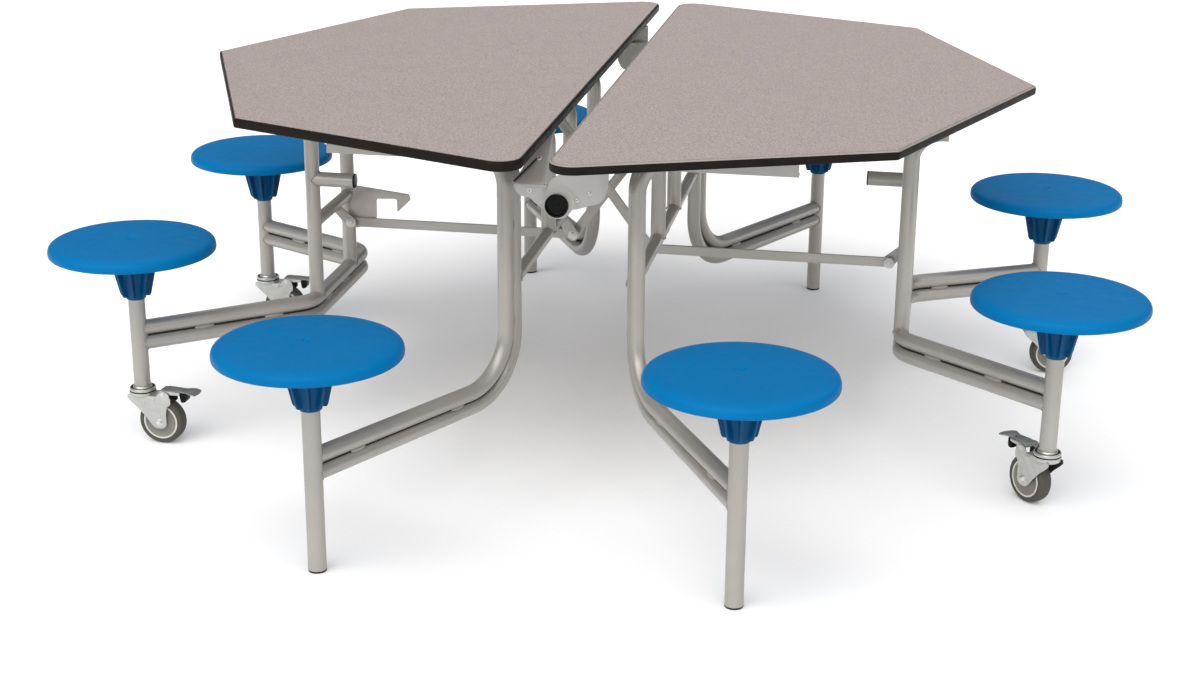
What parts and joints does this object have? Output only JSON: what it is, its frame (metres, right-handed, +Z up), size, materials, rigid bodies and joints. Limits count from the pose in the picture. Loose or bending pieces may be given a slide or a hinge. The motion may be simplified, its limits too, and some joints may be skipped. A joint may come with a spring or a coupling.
{
  "type": "folding table with swivel seats",
  "caption": "Folding octagonal cafeteria table on castor frames with round swivel seats carried on bent tube frames, two leaves hinged on a centre shaft.",
  "frame": {"origin": "on the floor under the middle of the table", "axes": "+Z up, +X from the leaf with the latch hook to the other leaf, +Y along the centre shaft away from the front"},
  "size_m": [2.1372, 2.1472, 0.735],
  "materials": {
    "laminate": "grey-mauve speckled laminate on particle board, satin",
    "edge_black": "black bullnose edge, satin",
    "frame_grey": "silver-grey powder coat, satin",
    "plate_grey": "silver-grey powder coat on pressed steel",
    "seat_blue": "moulded blue plastic, satin",
    "black_plastic": "moulded black plastic",
    "foot_dark": "dark grey plastic foot",
    "zinc": "bright zinc plate",
    "tyre_grey": "grey thermoplastic rubber tyre",
    "wheel_core": "light grey plastic wheel centre"
  },
  "bodies": {
    "castor_frame_left": {"base_rail_upper_left": "frame_grey", "base_rail_lower_left": "frame_grey", "castor_posts_left": "frame_grey", "castor_uprights_left": "frame_grey", "stub_cap_left": "black_plastic"},
    "leaf_left": {"tabletop_left": "laminate", "edge_band_left": "edge_black", "leaf_underframe_left": "frame_grey", "hinge_plates_left": "plate_grey", "centre_shaft": "frame_grey", "shaft_end_caps": "black_plastic"},
    "leaf_right": {"tabletop_right": "laminate", "edge_band_right": "edge_black", "leaf_underframe_right": "frame_grey", "hinge_plates_right": "plate_grey"},
    "inner_frame_left": {"inner_rails_upper_left": "frame_grey", "inner_rails_lower_left": "frame_grey", "inner_posts_left": "frame_grey", "inner_struts_left": "frame_grey", "foot_caps_left": "foot_dark"},
    "inner_frame_right": {"inner_rails_upper_right": "frame_grey", "inner_rails_lower_right": "frame_grey", "inner_posts_right": "frame_grey", "inner_struts_right": "frame_grey", "foot_caps_right": "foot_dark"},
    "castor_frame_right": {"base_rail_upper_right": "frame_grey", "base_rail_lower_right": "frame_grey", "castor_posts_right": "frame_grey", "castor_uprights_right": "frame_grey", "stub_cap_right": "black_plastic"},
    "tie_bar_left": {"tie_bar_left": "frame_grey"},
    "tie_bar_right": {"tie_bar_right": "frame_grey"},
    "cross_link_left": {"cross_link_left": "frame_grey"},
    "cross_link_right": {"cross_link_right": "frame_grey"},
    "latch_hook": {"latch_hook": "frame_grey"},
    "castor_fork_left_front": {"castor_fork_left_front": "zinc"},
    "castor_wheel_left_front": {"castor_tyre_left_front": "tyre_grey", "castor_wheel_core_left_front": "wheel_core"},
    "castor_pedal_left_front": {"castor_pedal_left_front": "zinc"},
    "seat_outer_left_front": {"seat_outer_left_front": "seat_blue"},
    "seat_inner_left_front": {"seat_inner_left_front": "seat_blue"},
    "castor_fork_left_back": {"castor_fork_left_back": "zinc"},
    "castor_wheel_left_back": {"castor_tyre_left_back": "tyre_grey", "castor_wheel_core_left_back": "wheel_core"},
    "castor_pedal_left_back": {"castor_pedal_left_back": "zinc"},
    "seat_outer_left_back": {"seat_outer_left_back": "seat_blue"},
    "seat_inner_left_back": {"seat_inner_left_back": "seat_blue"},
    "castor_fork_right_front": {"castor_fork_right_front": "zinc"},
    "castor_wheel_right_front": {"castor_tyre_right_front": "tyre_grey", "castor_wheel_core_right_front": "wheel_core"},
    "castor_pedal_right_front": {"castor_pedal_right_front": "zinc"},
    "seat_outer_right_front": {"seat_outer_right_front": "seat_blue"},
    "seat_inner_right_front": {"seat_inner_right_front": "seat_blue"},
    "castor_fork_right_back": {"castor_fork_right_back": "zinc"},
    "castor_wheel_right_back": {"castor_tyre_right_back": "tyre_grey", "castor_wheel_core_right_back": "wheel_core"},
    "castor_pedal_right_back": {"castor_pedal_right_back": "zinc"},
    "seat_outer_right_back": {"seat_outer_right_back": "seat_blue"},
    "seat_inner_right_back": {"seat_inner_right_back": "seat_blue"}
  },
  "joints": [
    {"name": "fold", "type": "hinge", "parent": "castor_frame_left", "child": "leaf_left", "pos_m": [-0.658, 0, 0.6817], "axis": [0, -1, 0], "range_deg": [0, 87.8]},
    {"name": "leaf_right_fold", "type": "hinge", "parent": "leaf_left", "child": "leaf_right", "pos_m": [0, 0, 0.605], "axis": [0, 1, 0], "range_deg": [0, 175.65]},
    {"name": "inner_left_fold", "type": "hinge", "parent": "leaf_left", "child": "inner_frame_left", "pos_m": [-0.168, 0, 0.6817], "axis": [0, 1, 0], "range_deg": [0, 87.8]},
    {"name": "inner_right_fold", "type": "hinge", "parent": "leaf_right", "child": "inner_frame_right", "pos_m": [0.168, 0, 0.6817], "axis": [0, -1, 0], "range_deg": [0, 87.8]},
    {"name": "castor_right_fold", "type": "hinge", "parent": "leaf_right", "child": "castor_frame_right", "pos_m": [0.658, 0, 0.6817], "axis": [0, -1, 0], "range_deg": [0, 87.8]},
    {"name": "tie_left_fold", "type": "hinge", "parent": "inner_frame_left", "child": "tie_bar_left", "pos_m": [-0.09, 0.037, 0.366], "axis": [0, -1, 0], "range_deg": [0, 87.8]},
    {"name": "tie_right_fold", "type": "hinge", "parent": "inner_frame_right", "child": "tie_bar_right", "pos_m": [0.09, -0.037, 0.366], "axis": [0, 1, 0], "range_deg": [0, 87.8]},
    {"name": "link_left_fold", "type": "hinge", "parent": "inner_frame_left", "child": "cross_link_left", "pos_m": [-0.09, 0.043, 0.366], "axis": [0, -1, 0], "range_deg": [0, 26.19]},
    {"name": "link_right_fold", "type": "hinge", "parent": "inner_frame_right", "child": "cross_link_right", "pos_m": [0.09, -0.043, 0.366], "axis": [0, 1, 0], "range_deg": [0, 26.19]},
    {"name": "latch_lift", "type": "hinge", "parent": "castor_frame_left", "child": "latch_hook", "pos_m": [-0.58, 0.043, 0.366], "axis": [0, -1, 0], "range_deg": [0, 25]},
    {"name": "swivel_left_front", "type": "hinge", "parent": "castor_frame_left", "child": "castor_fork_left_front", "pos_m": [-0.904, -0.386, 0.14], "axis": [0, 0, 1], "continuous": true},
    {"name": "wheel_left_front", "type": "hinge", "parent": "castor_fork_left_front", "child": "castor_wheel_left_front", "pos_m": [-0.86308, -0.3885, 0.0475], "axis": [0.061, 0.9981, 0], "continuous": true},
    {"name": "pedal_left_front", "type": "hinge", "parent": "castor_fork_left_front", "child": "castor_pedal_left_front", "pos_m": [-0.8521, -0.38917, 0.1095], "axis": [0.061, 0.9981, 0], "range_deg": [0, 18]},
    {"name": "seat_outer_left_front_swivel", "type": "hinge", "parent": "castor_frame_left", "child": "seat_outer_left_front", "pos_m": [-0.904, -0.386, 0.33], "axis": [0, 0, 1], "continuous": true},
    {"name": "seat_inner_left_front_swivel", "type": "hinge", "parent": "inner_frame_left", "child": "seat_inner_left_front", "pos_m": [-0.37, -0.909, 0.33], "axis": [0, 0, 1], "continuous": true},
    {"name": "swivel_left_back", "type": "hinge", "parent": "castor_frame_left", "child": "castor_fork_left_back", "pos_m": [-0.904, 0.386, 0.14], "axis": [0, 0, 1], "continuous": true},
    {"name": "wheel_left_back", "type": "hinge", "parent": "castor_fork_left_back", "child": "castor_wheel_left_back", "pos_m": [-0.863, 0.386, 0.0475], "axis": [0, 1, 0], "continuous": true},
    {"name": "pedal_left_back", "type": "hinge", "parent": "castor_fork_left_back", "child": "castor_pedal_left_back", "pos_m": [-0.852, 0.386, 0.1095], "axis": [0, 1, 0], "range_deg": [0, 18]},
    {"name": "seat_outer_left_back_swivel", "type": "hinge", "parent": "castor_frame_left", "child": "seat_outer_left_back", "pos_m": [-0.904, 0.386, 0.33], "axis": [0, 0, 1], "continuous": true},
    {"name": "seat_inner_left_back_swivel", "type": "hinge", "parent": "inner_frame_left", "child": "seat_inner_left_back", "pos_m": [-0.37, 0.909, 0.33], "axis": [0, 0, 1], "continuous": true},
    {"name": "swivel_right_front", "type": "hinge", "parent": "castor_frame_right", "child": "castor_fork_right_front", "pos_m": [0.904, -0.386, 0.14], "axis": [0, 0, 1], "continuous": true},
    {"name": "wheel_right_front", "type": "hinge", "parent": "castor_fork_right_front", "child": "castor_wheel_right_front", "pos_m": [0.8782, -0.35414, 0.0475], "axis": [-0.7771, -0.6293, 0], "continuous": true},
    {"name": "pedal_right_front", "type": "hinge", "parent": "castor_fork_right_front", "child": "castor_pedal_right_front", "pos_m": [0.87128, -0.34559, 0.1095], "axis": [-0.7771, -0.6293, 0], "range_deg": [0, 18]},
    {"name": "seat_outer_right_front_swivel", "type": "hinge", "parent": "castor_frame_right", "child": "seat_outer_right_front", "pos_m": [0.904, -0.386, 0.33], "axis": [0, 0, 1], "continuous": true},
    {"name": "seat_inner_right_front_swivel", "type": "hinge", "parent": "inner_frame_right", "child": "seat_inner_right_front", "pos_m": [0.37, -0.909, 0.33], "axis": [0, 0, 1], "continuous": true},
    {"name": "swivel_right_back", "type": "hinge", "parent": "castor_frame_right", "child": "castor_fork_right_back", "pos_m": [0.904, 0.386, 0.14], "axis": [0, 0, 1], "continuous": true},
    {"name": "wheel_right_back", "type": "hinge", "parent": "castor_fork_right_back", "child": "castor_wheel_right_back", "pos_m": [0.94438, 0.39312, 0.0475], "axis": [-0.1736, 0.9848, 0], "continuous": true},
    {"name": "pedal_right_back", "type": "hinge", "parent": "castor_fork_right_back", "child": "castor_pedal_right_back", "pos_m": [0.95521, 0.39503, 0.1095], "axis": [-0.1736, 0.9848, 0], "range_deg": [0, 18]},
    {"name": "seat_outer_right_back_swivel", "type": "hinge", "parent": "castor_frame_right", "child": "seat_outer_right_back", "pos_m": [0.904, 0.386, 0.33], "axis": [0, 0, 1], "continuous": true},
    {"name": "seat_inner_right_back_swivel", "type": "hinge", "parent": "inner_frame_right", "child": "seat_inner_right_back", "pos_m": [0.37, 0.909, 0.33], "axis": [0, 0, 1], "continuous": true}
  ],
  "couplings": [
    {"joint": "leaf_right_fold", "follows": "fold", "ratio": 2},
    {"joint": "inner_left_fold", "follows": "fold", "ratio": 1},
    {"joint": "inner_right_fold", "follows": "fold", "ratio": 1},
    {"joint": "castor_right_fold", "follows": "fold", "ratio": 1},
    {"joint": "tie_left_fold", "follows": "fold", "ratio": 1},
    {"joint": "tie_right_fold", "follows": "fold", "ratio": 1},
    {"joint": "link_left_fold", "follows": "fold", "ratio": 0.29772},
    {"joint": "link_right_fold", "follows": "fold", "ratio": 0.29772}
  ]
}
